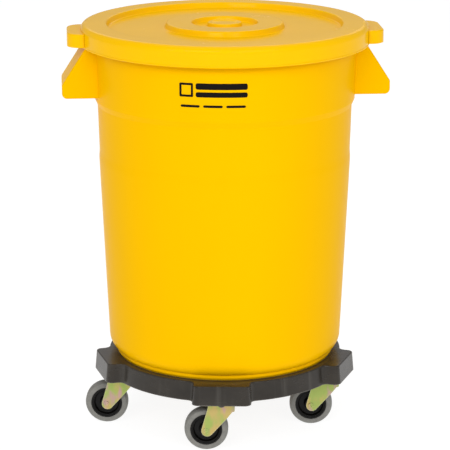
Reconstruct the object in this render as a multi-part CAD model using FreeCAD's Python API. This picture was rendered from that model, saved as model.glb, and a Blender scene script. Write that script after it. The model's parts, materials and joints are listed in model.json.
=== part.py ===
import FreeCAD, Part
import math
import os

# Round waste container with a lift-off lid on a five-caster drum dolly.
# Millimetres, +Z up. The origin is on the floor under the centre of the container.
# -Y is the front, and the caster wheels trail towards -X.

os.makedirs("parts", exist_ok=True)
V = FreeCAD.Vector
X_AXIS, Y_AXIS, Z_AXIS = V(1, 0, 0), V(0, 1, 0), V(0, 0, 1)

# ---------------------------------------------------------------- driving dimensions
lid_diameter = 504.8
overall_height = 717.8
container_turn = 6.0        # how far the container stands turned on the round seat, degrees

wheel_diameter = 76.2
caster_count = 5
caster_circle = 192.5       # radius on which the five swivel axes stand
trail = 27.1                # wheel axle behind the swivel axis

deck_top = 125.0
skirt_bottom = 91.0
seat_depth = 3.0            # recess that the container's foot stands in
seat_radius = 194.0
ring_radius = 208.0         # outer edge of the dolly's ring, at the deck
pad_reach = 228.4           # flat outer face of each caster pad
pad_half_width = 48.2
pad_corner = 9.0
pad_fillet = 14.0           # concave round where a pad leaves the ring
draft = 3.0                 # the skirt is this much wider at the bottom
skirt_wall = 4.0

rib_bottom = 99.0           # lower edge of the walls and spokes under the dolly
brace_bottom = 101.0        # lower edge of the ribs across the ring and pads
rib_half = 1.6
seat_inner = 148.0          # inner edge of the seat ring
hub_disc_radius = 62.0
hub_hole_radius = 20.0
lug_radius = 8.0            # small lug under the edge of the front pad
lug_depth = 2.6

wall = 3.0                  # container and lid walls
lid_rim_radius = lid_diameter / 2
lid_skirt_bottom = 683.0
container_rim = 714.0
step_height = 586.6         # lower edge of the container's wider upper band
handle_half_width = 50.0
handle_reach = 285.4        # outer wall of each handle
handle_bottom = 594.5
handle_root = 215.0
tab_half_width = 55.0
tab_reach = 275.0
tab_top = 707.6
tab_bottom = 684.4

# ---------------------------------------------------------------- caster heights
wheel_radius = wheel_diameter / 2
tread_inner = 27.6
tread_half = 12.5
hub_half = 14.6
leg_inner = 15.5            # inner face of each fork leg from the wheel's middle
leg_thickness = 2.5
leg_outer = leg_inner + leg_thickness
crown_top = 89.0
crown_bottom = crown_top - leg_thickness
ball_radius = 2.2
ball_circle = 14.5
ball_count = 14
ball_gap = 0.05             # running clearance above and below the balls
race_bottom = crown_top + 2 * (ball_radius + ball_gap)
race_top = race_bottom + 2.5
race_radius = 22.0
kingpin_radius = 5.0
running_gap = 0.05          # radial clearance of a shaft in its bearing
axle_radius = 4.0
sleeve_radius = 6.0
nut_height = 6.5
fork_tip = 10.2             # round end of each fork leg
fork_front = 23.0           # front end of the crown, ahead of the swivel axis

deck_thickness = 4.0
deck_underside = deck_top - deck_thickness
seat_floor = deck_top - seat_depth
seat_underside = seat_floor - deck_thickness
foot_bottom = seat_floor
stem_radius = 6.0
stem_top = seat_underside - 1.0


# ---------------------------------------------------------------- outline helpers
def unit(v):
    return v * (1.0 / v.Length)


def rounded_wire(corners, place):
    """Closed wire through corners (a, b) or (a, b, radius), each rounded by its radius."""
    points = [place(c[0], c[1]) for c in corners]
    radii = [c[2] if len(c) > 2 else 0.0 for c in corners]
    starts, ends, mids = [], [], []
    for i, p in enumerate(points):
        if radii[i] == 0:
            starts.append(p)
            ends.append(p)
            mids.append(None)
            continue
        back = unit(points[i - 1] - p)
        ahead = unit(points[(i + 1) % len(points)] - p)
        half = math.acos(max(-1.0, min(1.0, back.dot(ahead)))) / 2
        reach = radii[i] / math.tan(half)
        bisector = unit(back + ahead)
        centre = p + bisector * (radii[i] / math.sin(half))
        starts.append(p + back * reach)
        ends.append(p + ahead * reach)
        mids.append(centre - bisector * radii[i])
    edges = []
    for i in range(len(points)):
        if mids[i] is not None:
            edges.append(Part.Arc(starts[i], mids[i], ends[i]).toShape())
        following = (i + 1) % len(points)
        if (starts[following] - ends[i]).Length > 1e-6:
            edges.append(Part.LineSegment(ends[i], starts[following]).toShape())
    return Part.Wire(edges)


def turned(corners):
    """Solid of revolution about Z from corners given as (radius, height, round)."""
    wire = rounded_wire(corners, lambda r, z: V(r, 0, z))
    return Part.Face(wire).revolve(V(0, 0, 0), Z_AXIS, 360)


def prism_y(corners, y_low, y_high):
    """Prism along Y whose outline is given as (x, z, round)."""
    wire = rounded_wire(corners, lambda x, z: V(x, y_low, z))
    return Part.Face(wire).extrude(V(0, y_high - y_low, 0))


def prism_x(corners, x_low, x_high):
    """Prism along X whose outline is given as (y, z, round)."""
    wire = rounded_wire(corners, lambda y, z: V(x_low, y, z))
    return Part.Face(wire).extrude(V(x_high - x_low, 0, 0))


def prism_z(corners, z_low, z_high):
    """Prism along Z whose outline is given as (x, y, round)."""
    wire = rounded_wire(corners, lambda x, y: V(x, y, z_low))
    return Part.Face(wire).extrude(V(0, 0, z_high - z_low))


def cylinder(radius, low, high, x=0.0, y=0.0):
    return Part.makeCylinder(radius, high - low, V(x, y, low))


def y_cylinder(radius, y_low, y_high, x, z):
    return Part.makeCylinder(radius, y_high - y_low, V(x, y_low, z), Y_AXIS)


def ring(outer, inner, low, high):
    return cylinder(outer, low, high).cut(cylinder(inner, low, high))


def box(x_low, x_high, y_low, y_high, z_low, z_high):
    size = (x_high - x_low, y_high - y_low, z_high - z_low)
    return Part.makeBox(*size, V(x_low, y_low, z_low))


def spun(shape, degrees):
    """A copy turned about the Z axis."""
    copy = shape.copy()
    copy.rotate(V(0, 0, 0), Z_AXIS, degrees)
    return copy


def caster_angle(number):
    """Direction of caster 1 to 5 about the origin, with caster 1 at the front."""
    return -90.0 + (number - 1) * 360.0 / caster_count


def save(shape, node):
    if not shape.isValid():
        print("not valid:", node)
    shape.exportStep("parts/" + node + ".step")
    print(node, len(shape.Solids), "solid(s)", round(shape.Volume / 1000, 2), "cm3")


# ---------------------------------------------------------------- container
def outer_wall():
    """Corners of the container's outside, from the foot up to the rim."""
    return [
        (191.0, foot_bottom, 1.5),
        (195.2, 128.6, 3.0),
        (194.0, 133.4, 1.5),
        (197.0, 135.4, 2.0),
        (206.9, 144.4, 26.0),
        (221.8, 480.0, 60.0),
        (220.8, 493.0, 60.0),
        (223.2, 575.6, 3.0),
        (228.1, step_height, 3.0),
        (231.8, 701.0, 3.0),
        (244.0, 710.5, 1.0),
        (244.4, 698.0, 0.8),
        (247.4, 698.0, 0.8),
        (247.4, container_rim, 3.0),
    ]


def inner_wall():
    """Corners of the container's inside, from the rim down to the floor."""
    return [
        (229.0, container_rim, 1.0),
        (225.1, step_height + 1.5, 4.0),
        (220.2, 577.1, 3.0),
        (217.8, 493.0, 57.0),
        (218.8, 480.0, 57.0),
        (203.9, 147.0, 24.0),
        (189.0, foot_bottom + 10.0, 8.0),
        (0.0, foot_bottom + 10.0),
    ]


def foot_hollow():
    """Corners of the recess under the floor, inside the foot ring."""
    return [
        (0.0, foot_bottom + 6.0),
        (180.0, foot_bottom + 6.0, 2.0),
        (183.0, foot_bottom, 1.0),
    ]


def hood():
    """One moulded handle at +X: sloped top, upright outer wall, two cheeks, open below."""
    reach, half = handle_reach, handle_half_width
    crest, shoulder = 703.0, 618.2
    slope_start = 231.0
    solid = prism_y([(handle_root, crest), (slope_start, crest), (reach, shoulder, 9.0),
                     (reach, handle_bottom, 9.0), (handle_root, handle_bottom)], -half, half)
    rim_edges = [edge for edge in solid.Edges
                 if abs(abs(edge.CenterOfMass.y) - half) < 0.01
                 and edge.CenterOfMass.x > slope_start + 1 and edge.CenterOfMass.z > 600.0]
    solid = solid.makeFillet(4.0, rim_edges)
    shell = 3.6
    inside = half - shell
    cavity = prism_y([(handle_root - 1, crest - 6.4), (slope_start + 0.2, crest - 6.4, 4.0),
                      (reach - shell, shoulder - 0.8, 6.0), (reach - shell, handle_bottom - 7.0),
                      (handle_root - 1, handle_bottom - 7.0)], -inside, inside)
    foot = step_height
    mid_wall = Part.makeCone(226.7, 230.4, crest - foot, V(0, 0, foot))
    return solid.cut(cavity).cut(mid_wall)


def make_container():
    body = turned(outer_wall() + inner_wall() + foot_hollow())
    handle = hood()
    body = body.fuse(handle).fuse(spun(handle, 180.0)).removeSplitter()
    save(spun(body, container_turn), "container")


# ---------------------------------------------------------------- lid
def lid_shell():
    """The lid's round part: knob, raised disc, sunk floor, raised rim, skirt and locating ring."""
    rim_top = overall_height
    top = rim_top - 0.3
    floor = 708.6
    moat = 709.8
    outside = [
        (0.0, top - 1.8), (20.5, top - 1.8, 3.0), (24.2, top, 2.0), (29.0, top, 3.2),
        (30.6, moat, 1.5), (55.5, moat, 1.5), (58.3, top, 2.5), (101.5, top, 3.0),
        (105.0, floor, 1.8), (203.0, floor, 2.5), (206.6, rim_top, 3.0),
        (251.4, rim_top, 10.0), (251.6, lid_skirt_bottom + 3.0),
        (lid_rim_radius, lid_skirt_bottom + 2.2), (lid_rim_radius, lid_skirt_bottom + 0.7),
        (lid_rim_radius - 0.7, lid_skirt_bottom),
    ]
    rim_under = container_rim + 0.3
    inside = [
        (249.4, lid_skirt_bottom), (248.7, rim_under, 4.5), (226.4, rim_under),
        (226.2, 700.0, 1.0), (223.4, 700.0, 1.0), (223.2, rim_under, 1.5),
        (209.0, rim_under, 1.5), (206.0, floor - wall, 2.5), (101.9, floor - wall, 2.0),
        (98.3, rim_under, 2.0), (61.3, rim_under, 2.0), (58.7, moat - wall, 1.5),
        (27.6, moat - wall, 1.5), (26.0, top - wall - 1.8, 1.0), (0.0, top - wall - 1.8),
    ]
    return turned(outside + inside)


def lift_tab():
    """One hollow tab at +X, open below, that hangs over a handle."""
    top, low = tab_top, tab_bottom
    root = 246.0
    corner = 26.0
    solid = prism_z([(root, -tab_half_width), (tab_reach, -tab_half_width, corner),
                     (tab_reach, tab_half_width, corner), (root, tab_half_width)], low, top)
    crest = [edge for edge in solid.Edges
             if abs(edge.CenterOfMass.z - top) < 0.01 and edge.CenterOfMass.x > root + 1]
    solid = solid.makeFillet(3.0, crest)
    side, reach = tab_half_width - wall, tab_reach - wall
    hollow = prism_z([(root - 1, -side), (reach, -side, corner - wall),
                      (reach, side, corner - wall), (root - 1, side)], low - 1, top - wall)
    return solid.cut(hollow)


def make_lid():
    shell = lid_shell()
    joint_radius = lid_rim_radius - 2.0     # the tabs start within the thickness of the lid's rim
    tab = lift_tab().cut(cylinder(joint_radius, tab_bottom - 4.4, tab_top + 4.4))
    inside = tab_half_width - wall
    window_start, window_end = lid_rim_radius - 14.4, lid_rim_radius + 3.6
    window = box(window_start, window_end, -inside, inside, lid_skirt_bottom - 1, tab_top - wall)
    for turn in (0.0, 180.0):
        shell = shell.cut(spun(window, turn)).fuse(spun(tab, turn))
    save(spun(shell.removeSplitter(), container_turn), "lid")


# ---------------------------------------------------------------- dolly frame
def plan_wire(grow, z):
    """Outline of the ring with its five pads, grown sideways, at height z."""
    radius, reach, half = ring_radius + grow, pad_reach + grow, pad_half_width + grow
    corner, fillet = pad_corner + grow, pad_fillet - grow

    def pad_points():
        centre = V(math.sqrt((radius + fillet) ** 2 - (half + fillet) ** 2), half + fillet, 0)
        on_ring = centre * (radius / centre.Length)
        on_side = V(centre.x, half, 0)
        toward = unit(unit(on_ring - centre) + unit(on_side - centre))
        fillet_mid = centre + toward * fillet
        middle = V(reach - corner, half - corner, 0)
        diagonal = V(math.sqrt(0.5), math.sqrt(0.5), 0)
        return [on_ring, fillet_mid, on_side, V(reach - corner, half, 0),
                middle + diagonal * corner, V(reach, half - corner, 0)]

    left = pad_points()
    right = [V(p.x, -p.y, 0) for p in left]
    step = 360.0 / caster_count
    edges = []
    for number in range(1, caster_count + 1):
        def placed(p, extra=0.0):
            turn = math.radians(caster_angle(number) + extra)
            return V(p.x * math.cos(turn) - p.y * math.sin(turn),
                     p.x * math.sin(turn) + p.y * math.cos(turn), z)
        r = [placed(p) for p in right]
        f = [placed(p) for p in left]
        edges += [
            Part.Arc(r[0], r[1], r[2]).toShape(),
            Part.LineSegment(r[2], r[3]).toShape(),
            Part.Arc(r[3], r[4], r[5]).toShape(),
            Part.LineSegment(r[5], f[5]).toShape(),
            Part.Arc(f[5], f[4], f[3]).toShape(),
            Part.LineSegment(f[3], f[2]).toShape(),
            Part.Arc(f[2], f[1], f[0]).toShape(),
            Part.Arc(f[0], placed(V(radius, 0, 0), step / 2), placed(right[0], step)).toShape(),
        ]
    return Part.Wire(edges)


def plan_solid(grow_low, z_low, grow_high, z_high):
    return Part.makeLoft([plan_wire(grow_low, z_low), plan_wire(grow_high, z_high)], True, True)


def deck_shell():
    """Ring, pads and skirt, open below, with the middle cut out."""
    slope = draft / (deck_top - skirt_bottom)
    outer = plan_solid(draft, skirt_bottom, 0.0, deck_top)
    crest = [edge for edge in outer.Edges
             if abs(edge.BoundBox.ZMax - deck_top) < 0.01 and edge.BoundBox.ZLength < 0.01]
    outer = outer.makeFillet(2.5, crest)
    low = skirt_bottom - 1.0
    inner = plan_solid(draft + slope - skirt_wall, low,
                       (deck_top - deck_underside) * slope - skirt_wall, deck_underside)
    shell = outer.cut(inner)
    return shell.cut(cylinder(seat_radius, low, deck_top + 1))


def spoke(angle):
    """Channel from the hub to the seat ring: a flat top with two ribs under it."""
    half, rib = 24.0, 4.0
    start, end = hub_disc_radius - 12.0, seat_inner + 4.0
    web = box(start, end, -half, half, seat_underside, seat_floor)
    ribs = [box(start, end, low, low + rib, rib_bottom, seat_underside + 0.5)
            for low in (-half, half - rib)]
    return spun(web.multiFuse(ribs), angle)


def pad_bracing(angle):
    """Boss for the caster's stem with ribs out to the skirt and in to the seat ring."""
    axis, end = caster_circle, pad_reach - 1.5
    side = pad_half_width - 1.0
    under_seat, under_deck = seat_underside + 0.5, deck_underside + 0.5
    boss = cylinder(15.0, race_top, under_deck, axis)
    radial = box(seat_inner + 3.0, end, -rib_half, rib_half, rib_bottom, under_seat)
    outer_radial = box(axis, end, -rib_half, rib_half, rib_bottom, under_deck)
    across = box(axis - rib_half, axis + rib_half, -side, side, brace_bottom, under_deck)
    return spun(boss.multiFuse([radial, outer_radial, across]), angle)


def front_lug():
    """Rounded lug under the lower edge of the front pad."""
    face = pad_reach + draft
    lug = cylinder(lug_radius, 0.0, 4.0)
    lug.rotate(V(0, 0, 0), X_AXIS, 90)
    lug.translate(V(0, -face + 4.4, skirt_bottom - lug_depth + lug_radius))
    return lug.common(box(-lug_radius, lug_radius, -face, -face + 8.0,
                          skirt_bottom - lug_depth, skirt_bottom + lug_depth))


def stem_hole(angle):
    return spun(cylinder(stem_radius, race_top - 1, stem_top, caster_circle), angle)


def ring_ribs(angle):
    """Two stiffening ribs across the ring between one pad and the next."""
    rib = box(seat_inner + 3.0, ring_radius - 1.0, -rib_half, rib_half,
              brace_bottom, seat_underside + 0.5)
    middle = angle + 180.0 / caster_count
    return [spun(rib, middle - 8.0), spun(rib, middle + 8.0)]


def make_dolly_frame():
    top = seat_underside + 0.5
    seat = ring(seat_radius + 4.0, seat_inner, seat_underside, seat_floor)
    inner_wall_ring = ring(seat_inner + 4.0, seat_inner, rib_bottom, top)
    hub = cylinder(hub_disc_radius, seat_underside, seat_floor)
    hub_wall = ring(hub_disc_radius, hub_disc_radius - 3.5, rib_bottom, top)
    pieces = [seat, inner_wall_ring, hub, hub_wall, front_lug()]
    for number in range(1, caster_count + 1):
        angle = caster_angle(number)
        pieces += [spoke(angle), pad_bracing(angle)] + ring_ribs(angle)
    frame = deck_shell().multiFuse(pieces)
    stem_holes = [stem_hole(caster_angle(number)) for number in range(1, caster_count + 1)]
    frame = frame.cut([cylinder(hub_hole_radius, rib_bottom - 1, deck_top)] + stem_holes)
    save(frame.removeSplitter(), "dolly_frame")


# ---------------------------------------------------------------- casters
def make_kingpin():
    """Headed pin: the head is under the fork's crown and the stem is up in the boss."""
    return turned([
        (0.0, 82.8), (6.0, 82.8, 1.0), (9.0, crown_bottom - 0.3, 0.5),
        (kingpin_radius, crown_bottom - 0.3), (kingpin_radius, race_top),
        (stem_radius, race_top), (stem_radius, stem_top - 0.3, 1.0), (0.0, stem_top - 0.3),
    ])


def make_upper_race():
    """Stamped ring that caps the balls, with a turned-down edge."""
    return turned([
        (kingpin_radius, race_bottom), (20.4, race_bottom, 0.6), (20.4, crown_top + 1.2),
        (race_radius, crown_top + 1.2, 0.5), (race_radius, race_top, 2.0),
        (kingpin_radius, race_top),
    ])


def make_balls():
    height = crown_top + ball_gap + ball_radius
    balls = []
    for i in range(ball_count):
        turn = 2 * math.pi * i / ball_count
        place = V(ball_circle * math.cos(turn), ball_circle * math.sin(turn), height)
        balls.append(Part.makeSphere(ball_radius, place))
    return Part.makeCompound(balls)


def tangent_point(centre, radius, point, side):
    """Where a line from point touches the circle in the XZ plane; side is 1 or -1."""
    dx, dz = point[0] - centre[0], point[1] - centre[1]
    reach = math.hypot(dx, dz)
    turn = math.atan2(dz, dx) + side * math.acos(radius / reach)
    return (centre[0] + radius * math.cos(turn), centre[1] + radius * math.sin(turn))


def make_fork():
    """Pressed fork: a crown with two legs that run back and down to the axle."""
    bend = 5.0
    low = wheel_radius - fork_tip - 2.0
    section = [(-leg_outer, low), (-leg_outer, crown_top, bend), (leg_outer, crown_top, bend),
               (leg_outer, low), (leg_inner, low), (leg_inner, crown_bottom, bend - leg_thickness),
               (-leg_inner, crown_bottom, bend - leg_thickness), (-leg_inner, low)]
    channel = prism_x(section, -45.0, 30.0)
    tip = (-trail + 2.0, wheel_radius)
    back, knee = (-24.8, 77.0), (9.6, 61.5)
    above = crown_top + 1
    side = prism_y([tangent_point(tip, fork_tip, back, 1), (*back, 20.0), (-22.6, above),
                    (fork_front, above), (fork_front - 0.5, 73.8, 2.0), (fork_front - 4.5, 73.0, 2.0),
                    (*knee, 30.0), tangent_point(tip, fork_tip, knee, -1)], -30.0, 30.0)
    side = side.fuse(y_cylinder(fork_tip, -30.0, 30.0, *tip))
    fork = channel.common(side)
    fork = fork.cut(cylinder(kingpin_radius + running_gap, crown_bottom - 1, above))
    fork = fork.cut(y_cylinder(axle_radius, -30.0, 30.0, -trail, wheel_radius))
    return fork.removeSplitter()


def make_axle_bolt():
    """Low head with a dimple outside the front leg, shank through both legs."""
    head = leg_outer + 1.2
    end = leg_outer + nut_height + 1.9
    bolt = turned([(0.0, -head + 0.8), (1.6, -head + 0.5, 0.4), (2.2, -head, 0.3), (4.4, -head, 0.6),
                   (5.4, -leg_outer, 0.2), (axle_radius, -leg_outer),
                   (axle_radius, end, 0.8), (0.0, end)])
    bolt.rotate(V(0, 0, 0), X_AXIS, -90)
    bolt.translate(V(-trail, 0, wheel_radius))
    return bolt


def make_axle_nut():
    """Hexagon nut outside the rear leg."""
    corner = 7.5
    outline = [(corner * math.cos(math.radians(60 * i)), corner * math.sin(math.radians(60 * i)))
               for i in range(6)]
    nut = prism_z(outline, leg_outer, leg_outer + nut_height)
    chamfer = Part.makeCone(corner + 3.0, corner - 0.6, nut_height + 0.01, V(0, 0, leg_outer))
    nut = nut.common(chamfer).cut(cylinder(axle_radius, 0.0, 40.0))
    nut.rotate(V(0, 0, 0), X_AXIS, -90)
    nut.translate(V(-trail, 0, wheel_radius))
    return nut


def make_axle_sleeve():
    """Tube clamped between the legs, on which the hub turns."""
    sleeve = y_cylinder(sleeve_radius, -leg_inner, leg_inner, -trail, wheel_radius)
    return sleeve.cut(y_cylinder(axle_radius, -leg_inner, leg_inner, -trail, wheel_radius))


def wheel_turned(corners):
    """Solid of revolution about the axle from corners (radius, offset along Y, round)."""
    shape = turned(corners)
    shape.rotate(V(0, 0, 0), X_AXIS, -90)
    shape.translate(V(-trail, 0, wheel_radius))
    return shape


def make_wheel_hub():
    """Moulded hub: boss, thin web and a rim with a stepped edge on each face."""
    web_half, rim_half = 3.0, 12.0
    half = [(sleeve_radius + running_gap, hub_half, 0.0), (10.5, hub_half, 1.0),
            (12.0, web_half, 2.0), (21.5, web_half, 2.0), (22.6, rim_half - 1.8, 0.8),
            (24.4, rim_half - 1.8, 0.8), (24.8, rim_half, 0.6), (tread_inner, rim_half, 0.0)]
    far_half = [(radius, -offset, rounding) for radius, offset, rounding in reversed(half)]
    return wheel_turned(half + far_half)


def make_wheel_tread():
    """Rubber tyre with flat sides and a crowned running face."""
    side = tread_half
    return wheel_turned([
        (tread_inner, side - 0.8, 0.4), (28.6, side, 0.5), (35.2, side, 3.4),
        (wheel_radius, 6.5, 9.0), (wheel_radius, -6.5, 9.0),
        (35.2, -side, 3.4), (28.6, -side, 0.5), (tread_inner, -side + 0.8, 0.4),
    ])


def make_casters():
    pieces = {
        "kingpin": make_kingpin(), "upper_race": make_upper_race(), "swivel_balls": make_balls(),
        "fork": make_fork(), "axle_bolt": make_axle_bolt(), "axle_nut": make_axle_nut(),
        "axle_sleeve": make_axle_sleeve(), "wheel_hub": make_wheel_hub(),
        "wheel_tread": make_wheel_tread(),
    }
    for number in range(1, caster_count + 1):
        turn = math.radians(caster_angle(number))
        place = V(caster_circle * math.cos(turn), caster_circle * math.sin(turn), 0)
        for name, shape in pieces.items():
            copy = shape.copy()
            copy.translate(place)
            save(copy, name + "_" + str(number))


make_dolly_frame()
make_casters()
make_container()
make_lid()
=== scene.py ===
import json
import math

import bmesh
import bpy
from mathutils import Matrix, Vector


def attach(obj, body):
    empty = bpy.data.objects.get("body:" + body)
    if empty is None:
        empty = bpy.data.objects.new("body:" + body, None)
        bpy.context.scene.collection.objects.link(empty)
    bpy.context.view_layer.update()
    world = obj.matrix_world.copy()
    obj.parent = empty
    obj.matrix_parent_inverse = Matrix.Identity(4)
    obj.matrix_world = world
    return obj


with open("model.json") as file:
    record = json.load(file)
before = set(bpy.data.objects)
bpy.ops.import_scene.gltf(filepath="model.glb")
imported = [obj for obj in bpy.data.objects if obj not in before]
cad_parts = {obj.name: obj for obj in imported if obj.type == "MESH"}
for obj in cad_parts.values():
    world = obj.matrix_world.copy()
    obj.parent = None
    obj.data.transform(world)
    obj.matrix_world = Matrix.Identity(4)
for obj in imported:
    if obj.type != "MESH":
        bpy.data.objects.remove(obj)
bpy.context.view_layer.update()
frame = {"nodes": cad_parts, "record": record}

# Looks of a round yellow container with its lid, standing on a five-caster drum dolly.
# Metres, +Z up. The origin is on the floor under the container's centre, and -Y is the front.

scene = bpy.context.scene

# ---------------------------------------------------------------- colours, linear RGB
CONTAINER_YELLOW = (0.93, 0.505, 0.0)
LID_YELLOW = (0.95, 0.53, 0.0)
SHEEN_YELLOW = (1.0, 0.70, 0.05)
DOLLY_BLACK = (0.030, 0.0255, 0.0205)
# pale tone of the foam's streaks, and the painted highlight laid along the dolly's sharp edges
DOLLY_STREAK_AND_EDGE_HIGHLIGHT = (0.30, 0.28, 0.25)
HUB_BLACK = (0.004, 0.0036, 0.0032)
TREAD_GREY = (0.205, 0.20, 0.182)
PRINT_BLACK = (0.004, 0.0035, 0.003)
ZINC_GOLD = (0.56, 0.43, 0.15)
ZINC_GREEN = (0.38, 0.47, 0.12)
ZINC_PINK = (0.55, 0.33, 0.33)
# painted highlight colour laid along the sharp edges of the zinc parts
ZINC_EDGE_HIGHLIGHT = (0.80, 0.78, 0.55)
BRIGHT_STEEL = (0.55, 0.55, 0.53)


# ---------------------------------------------------------------- printed mark
BAND_FOOT = 0.5866          # height at which the container's upper band begins
BAND_RADIUS = 0.2281        # its outer radius there
BAND_SLOPE = 0.0037 / 0.1144    # growth of the radius with height
PRINT_TURN = math.radians(-3.4)     # middle of the mark, round from the front
INK_LIFT = 0.00035          # height of the ink above the wall
INK_ROOT = -0.0004          # its rim reaches this far into the wall
COLUMN_WIDTH = 0.0015       # longest step round the band
FEWEST_COLUMNS = 6

SQUARE_LEFT, SQUARE_RIGHT = -0.0570, -0.0335
SQUARE_LINE = 0.0036        # width of the square's sides
BAR_LEFT, BAR_RIGHT = -0.0290, 0.0575
MARK_FOOT, MARK_TOP = 0.6300, 0.6535
LOWER_BAR_TOP, UPPER_BAR_FOOT = 0.6385, 0.6430
DASH_FOOT, DASH_TOP = 0.6125, 0.6165
DASH_START, DASH_LENGTH, DASH_GAP = -0.0550, 0.0325, 0.0060
DASH_COUNT = 3
SQUARE_CORNER, BAR_CORNER, DASH_CORNER = 0.0016, 0.0024, 0.0012


# ---------------------------------------------------------------- node helpers
class Maker:
    """Builds one node material; each method adds a node and returns its output socket."""

    def __init__(self, name):
        self.material = bpy.data.materials.new(name)
        self.material.use_nodes = True
        self.tree = self.material.node_tree
        self.shader = self.tree.nodes["Principled BSDF"]
        self.place = self.add("ShaderNodeTexCoord").outputs["Object"]

    def add(self, kind):
        return self.tree.nodes.new(kind)

    def link(self, source, target):
        self.tree.links.new(source, target)

    def stretch(self, scale):
        node = self.add("ShaderNodeMapping")
        node.inputs["Scale"].default_value = scale
        self.link(self.place, node.inputs["Vector"])
        return node.outputs["Vector"]

    def noise(self, scale, detail=3.0, rough=0.5, where=None):
        node = self.add("ShaderNodeTexNoise")
        node.inputs["Scale"].default_value = scale
        node.inputs["Detail"].default_value = detail
        node.inputs["Roughness"].default_value = rough
        self.link(where or self.place, node.inputs["Vector"])
        return node.outputs["Fac"]

    def spread(self, value, low, high, out_low=0.0, out_high=1.0):
        node = self.add("ShaderNodeMapRange")
        node.interpolation_type = "SMOOTHSTEP"
        for name, number in (("From Min", low), ("From Max", high),
                             ("To Min", out_low), ("To Max", out_high)):
            node.inputs[name].default_value = number
        self.link(value, node.inputs["Value"])
        return node.outputs["Result"]

    def ramp(self, value, stops):
        node = self.add("ShaderNodeValToRGB")
        elements = node.color_ramp.elements
        while len(elements) < len(stops):
            elements.new(0.5)
        for element, (position, colour) in zip(elements, stops):
            element.position = position
            element.color = (*colour, 1.0)
        self.link(value, node.inputs["Fac"])
        return node.outputs["Color"]

    def mix(self, factor, first, second):
        node = self.add("ShaderNodeMix")
        node.data_type = "RGBA"
        self.feed(factor, node.inputs["Factor"])
        self.feed(first, node.inputs[6])
        self.feed(second, node.inputs[7])
        return node.outputs[2]

    def maths(self, operation, first, second=0.0):
        node = self.add("ShaderNodeMath")
        node.operation = operation
        self.feed(first, node.inputs[0])
        self.feed(second, node.inputs[1])
        return node.outputs[0]

    def feed(self, value, socket):
        """Links a socket, or sets a number or colour on the input itself."""
        if isinstance(value, bpy.types.NodeSocket):
            self.link(value, socket)
        elif isinstance(value, tuple):
            socket.default_value = (*value, 1.0)
        else:
            socket.default_value = value

    def bump(self, height, strength, distance, under=None):
        node = self.add("ShaderNodeBump")
        node.inputs["Strength"].default_value = strength
        node.inputs["Distance"].default_value = distance
        self.link(height, node.inputs["Height"])
        if under is not None:
            self.link(under, node.inputs["Normal"])
        return node.outputs["Normal"]

    def edges(self, radius, low=0.01, high=0.18):
        """Mask of the sharp outer and inner edges, about one radius wide."""
        rounded = self.add("ShaderNodeBevel")
        rounded.samples = 6
        rounded.inputs["Radius"].default_value = radius
        flat = self.add("ShaderNodeNewGeometry").outputs["Normal"]
        dot = self.add("ShaderNodeVectorMath")
        dot.operation = "DOT_PRODUCT"
        self.link(rounded.outputs["Normal"], dot.inputs[0])
        self.link(flat, dot.inputs[1])
        return self.spread(self.maths("SUBTRACT", 1.0, dot.outputs["Value"]), low, high)

    def finish(self, colour, roughness, normal=None, metallic=0.0, **sockets):
        self.feed(colour, self.shader.inputs["Base Color"])
        self.feed(roughness, self.shader.inputs["Roughness"])
        self.feed(metallic, self.shader.inputs["Metallic"])
        if normal is not None:
            self.link(normal, self.shader.inputs["Normal"])
        for name, number in sockets.items():
            self.shader.inputs[name.replace("_", " ")].default_value = number
        return self.material


def shade(colour, factor):
    """The colour made darker or lighter by a factor."""
    return tuple(channel * factor for channel in colour)


# ---------------------------------------------------------------- materials
def moulded_yellow(name, colour, gloss, ior, coat):
    """Glossy moulded polyethylene: faint flow mottling, an orange-peel skin and a few scuffs."""
    m = Maker(name)
    flow = m.noise(3.5, 4.0, 0.55, m.stretch((1.0, 1.0, 0.25)))
    tint = m.ramp(flow, [(0.30, shade(colour, 0.965)), (0.70, shade(colour, 1.03))])
    fine = m.noise(420.0, 2.0, 0.5)
    peel = m.noise(95.0, 2.0, 0.5)
    scuff = m.spread(m.noise(30.0, 8.0, 0.7, m.stretch((1.0, 1.0, 0.3))), 0.60, 0.74)
    rough = m.maths("ADD", m.spread(flow, 0.3, 0.7, gloss, gloss + 0.05), m.maths("MULTIPLY", scuff, 0.12))
    normal = m.bump(fine, 0.10, 0.0003, m.bump(peel, 0.12, 0.0008))
    m.shader.inputs["Specular Tint"].default_value = (*SHEEN_YELLOW, 1.0)
    return m.finish(tint, rough, normal, metallic=0.03, IOR=ior, Coat_Weight=coat, Coat_Roughness=0.10)


def moulded_black():
    """Charcoal structural foam: swirls, sink streaks, a pebbled skin, and a patchy painted highlight along
    the edges.
    """
    m = Maker("dolly_black")
    swirl = m.noise(9.0, 5.0, 0.6, m.stretch((1.0, 1.0, 2.2)))
    tint = m.ramp(swirl, [(0.30, shade(DOLLY_BLACK, 0.8)), (0.72, shade(DOLLY_BLACK, 1.35))])
    streak = m.noise(48.0, 3.0, 0.6, m.stretch((1.0, 1.0, 0.08)))
    tint = m.mix(m.spread(streak, 0.50, 0.75, 0.0, 0.10), tint, DOLLY_STREAK_AND_EDGE_HIGHLIGHT)
    # painted highlight: the sharp edges are lightened in patches towards the pale colour
    edge_highlight = m.maths("MULTIPLY", m.edges(0.0032), m.spread(m.noise(30.0, 3.0, 0.6), 0.35, 0.65, 0.35, 0.75))
    tint = m.mix(edge_highlight, tint, DOLLY_STREAK_AND_EDGE_HIGHLIGHT)
    pebble = m.noise(700.0, 2.0, 0.5)
    wave = m.noise(60.0, 2.0, 0.5)
    rough = m.spread(swirl, 0.3, 0.7, 0.22, 0.30)
    normal = m.bump(pebble, 0.12, 0.0003, m.bump(wave, 0.10, 0.0010))
    return m.finish(tint, rough, normal, IOR=1.34)


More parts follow.
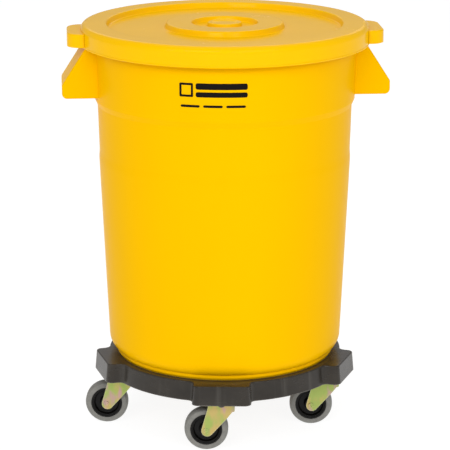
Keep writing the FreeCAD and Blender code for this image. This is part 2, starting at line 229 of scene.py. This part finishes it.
def yellow_zinc():
    """Yellow passivated zinc: gold with drifting green and pink interference, and a painted highlight along
    the edges.
    """
    m = Maker("zinc_yellow")
    drift = m.noise(52.0, 2.0, 0.5, m.stretch((1.0, 1.0, 0.45)))
    patch = m.noise(60.0, 2.0, 0.5, m.stretch((1.0, 0.6, 0.45)))
    colour = m.mix(m.spread(drift, 0.38, 0.58), ZINC_GOLD, ZINC_GREEN)
    colour = m.mix(m.spread(patch, 0.55, 0.70, 0.0, 0.85), colour, ZINC_PINK)
    # painted highlight: the sharp edges are lightened towards a pale gold
    colour = m.mix(m.maths("MULTIPLY", m.edges(0.0016), 0.85), colour, ZINC_EDGE_HIGHLIGHT)
    grain = m.noise(900.0, 2.0, 0.5, m.stretch((1.0, 1.0, 0.12)))
    rough = m.spread(drift, 0.3, 0.7, 0.34, 0.48)
    return m.finish(colour, rough, m.bump(grain, 0.12, 0.0002), metallic=0.7)


def bright_steel():
    """Bright plated steel with a fine grain and a few duller stains."""
    m = Maker("bright_steel")
    stain = m.noise(160.0, 4.0, 0.6)
    colour = m.ramp(stain, [(0.35, shade(BRIGHT_STEEL, 0.8)), (0.65, BRIGHT_STEEL)])
    grain = m.noise(1400.0, 2.0, 0.5)
    return m.finish(colour, m.spread(stain, 0.3, 0.7, 0.22, 0.36), m.bump(grain, 0.1, 0.0001), metallic=1.0)


def tread_rubber():
    """Grey non-marking rubber with a dusty running face."""
    m = Maker("tread_grey")
    dust = m.noise(110.0, 5.0, 0.65)
    colour = m.ramp(dust, [(0.35, shade(TREAD_GREY, 0.88)), (0.68, shade(TREAD_GREY, 1.12))])
    grain = m.noise(1300.0, 2.0, 0.5)
    return m.finish(colour, m.spread(dust, 0.3, 0.7, 0.48, 0.62), m.bump(grain, 0.2, 0.0002), IOR=1.45)


def hub_plastic():
    """Black moulded nylon with a faint swirl and a fine pebble."""
    m = Maker("hub_black")
    swirl = m.noise(60.0, 4.0, 0.6)
    colour = m.ramp(swirl, [(0.35, shade(HUB_BLACK, 0.8)), (0.7, shade(HUB_BLACK, 1.5))])
    pebble = m.noise(1200.0, 2.0, 0.5)
    return m.finish(colour, m.spread(swirl, 0.3, 0.7, 0.36, 0.48), m.bump(pebble, 0.15, 0.0002), IOR=1.3)


def print_ink():
    """Matt black printing ink, slightly worn."""
    m = Maker("print_black")
    wear = m.noise(900.0, 3.0, 0.6)
    colour = m.ramp(wear, [(0.3, PRINT_BLACK), (0.8, shade(PRINT_BLACK, 2.5))])
    return m.finish(colour, m.spread(wear, 0.3, 0.7, 0.45, 0.6), IOR=1.15)


MATERIALS = {
    "container_yellow": moulded_yellow("container_yellow", CONTAINER_YELLOW, 0.30, 1.08, 0.0),
    "lid_yellow": moulded_yellow("lid_yellow", LID_YELLOW, 0.20, 1.12, 0.10),
    "dolly_black": moulded_black(),
    "zinc_yellow": yellow_zinc(),
    "bright_steel": bright_steel(),
    "tread_grey": tread_rubber(),
    "hub_black": hub_plastic(),
}


def front_of_band(along, height, lift):
    """Point at a height on the container's upper band, so far along from the middle of the mark."""
    radius = BAND_RADIUS + (height - BAND_FOOT) * BAND_SLOPE + lift
    turn = PRINT_TURN + along / radius
    return (radius * math.sin(turn), -radius * math.cos(turn), height)


def add_plate(mesh, left, right, low, high, corner):
    """Raised ink plate with rounded corners, following the curve of the band."""
    columns = max(FEWEST_COLUMNS, int((right - left) / COLUMN_WIDTH))
    rows = []
    for i in range(columns + 1):
        along = left + (right - left) * i / columns
        inset = max(corner - (along - left), corner - (right - along), 0.0)
        cut = corner - math.sqrt(max(corner ** 2 - inset ** 2, 0.0))
        section = ((low + cut, INK_ROOT), (low + cut, INK_LIFT),
                   (high - cut, INK_LIFT), (high - cut, INK_ROOT))
        rows.append([mesh.verts.new(front_of_band(along, height, lift)) for height, lift in section])
    for before, after in zip(rows, rows[1:]):
        for i in range(len(before) - 1):
            mesh.faces.new((before[i], after[i], after[i + 1], before[i + 1]))


def add_square(mesh):
    """Open square: two level sides and two upright ones."""
    for low, high in ((MARK_TOP - SQUARE_LINE, MARK_TOP), (MARK_FOOT, MARK_FOOT + SQUARE_LINE)):
        add_plate(mesh, SQUARE_LEFT, SQUARE_RIGHT, low, high, SQUARE_CORNER)
    for left, right in ((SQUARE_LEFT, SQUARE_LEFT + SQUARE_LINE), (SQUARE_RIGHT - SQUARE_LINE, SQUARE_RIGHT)):
        add_plate(mesh, left, right, MARK_FOOT, MARK_TOP, SQUARE_CORNER)


def make_print():
    """A plain generic mark: an open square beside two bars, with a broken line below."""
    mesh = bmesh.new()
    add_square(mesh)
    add_plate(mesh, BAR_LEFT, BAR_RIGHT, UPPER_BAR_FOOT, MARK_TOP, BAR_CORNER)
    add_plate(mesh, BAR_LEFT, BAR_RIGHT, MARK_FOOT, LOWER_BAR_TOP, BAR_CORNER)
    for i in range(DASH_COUNT):
        start = DASH_START + i * (DASH_LENGTH + DASH_GAP)
        add_plate(mesh, start, start + DASH_LENGTH, DASH_FOOT, DASH_TOP, DASH_CORNER)
    data = bpy.data.meshes.new("printed_mark")
    mesh.to_mesh(data)
    mesh.free()
    data.materials.append(print_ink())
    mark = bpy.data.objects.new("printed_mark", data)
    scene.collection.objects.link(mark)
    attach(mark, "container")


def dress_cad_nodes():
    """Every CAD node takes the detailed material of its record slot."""
    slot_of = {entry["node"]: entry["material_slot"] for entry in frame["record"]["subparts"]}
    for name, node in frame["nodes"].items():
        node.data.materials.clear()
        node.data.materials.append(MATERIALS[slot_of[name]])


# ---------------------------------------------------------------- studio
def make_floor():
    """A pale matt floor with a faint mottle, bright enough to leave only soft shadows."""
    mesh = bpy.data.meshes.new("floor")
    half = 30.0
    corners = [(-half, -half, 0), (half, -half, 0), (half, half, 0), (-half, half, 0)]
    mesh.from_pydata(corners, [], [(0, 1, 2, 3)])
    floor = bpy.data.objects.new("floor", mesh)
    scene.collection.objects.link(floor)
    m = Maker("floor_white")
    mottle = m.noise(2.0, 2.0, 0.5)
    colour = m.ramp(mottle, [(0.3, (0.19, 0.19, 0.19)), (0.7, (0.21, 0.21, 0.21))])
    material = m.finish(colour, 0.9, Specular_IOR_Level=0.0, Emission_Strength=0.90)
    m.shader.inputs["Emission Color"].default_value = (1, 1, 1, 1)
    mesh.materials.append(material)


def area_light(name, place, aim, size, power):
    """Rectangular light of a size in metres and a power in watts, turned to face aim."""
    data = bpy.data.lights.new(name, "AREA")
    data.shape = "RECTANGLE"
    data.size, data.size_y = size
    data.energy = power
    light = bpy.data.objects.new(name, data)
    light.location = place
    light.rotation_mode = "QUATERNION"
    light.rotation_quaternion = (Vector(aim) - Vector(place)).to_track_quat("-Z", "Y")
    scene.collection.objects.link(light)


def make_lights():
    """Two broad soft lights in front, one above, one behind and a small glint at each side."""
    middle = (0.0, 0.0, 0.6)
    area_light("key", (-1.3, -4.2, 2.9), middle, (2.2, 1.6), 56.0)
    area_light("fill", (1.5, -4.2, 2.6), middle, (2.2, 1.6), 46.0)
    area_light("top", (0.0, 0.4, 3.6), middle, (3.0, 3.0), 22.0)
    area_light("back", (0.0, 3.6, 2.6), middle, (3.0, 1.6), 16.0)
    area_light("left glint", (-3.0, -3.4, 2.5), middle, (0.5, 0.3), 16.0)
    area_light("right glint", (3.0, -3.4, 2.5), middle, (0.5, 0.3), 16.0)
    world = bpy.data.worlds.new("studio")
    world.use_nodes = True
    background = world.node_tree.nodes["Background"]
    background.inputs["Color"].default_value = (1.0, 1.0, 1.0, 1.0)
    background.inputs["Strength"].default_value = 0.45
    scene.world = world
    scene.view_settings.view_transform = "Standard"
    scene.view_settings.look = "None"


def make_camera():
    """A long lens from above the lid, almost square to the dolly's front pad and looking down."""
    azimuth = math.radians(1.41)
    pitch = math.radians(15.164)
    distance, height, aside = 3.6867, 1.3496, 0.0005
    sensor_mm, lens_mm = 36.0, 170.99
    data = bpy.data.cameras.new("camera")
    data.sensor_width = sensor_mm
    data.lens = lens_mm
    data.clip_end = 100.0
    camera = bpy.data.objects.new("camera", data)
    turn = Matrix.Rotation(azimuth, 4, "Z")
    stand = Matrix.Translation((aside, -distance, height))
    camera.matrix_world = turn @ stand @ Matrix.Rotation(math.pi / 2 - pitch, 4, "X")
    scene.collection.objects.link(camera)
    scene.camera = camera


make_camera()
dress_cad_nodes()
make_print()
make_floor()
make_lights()
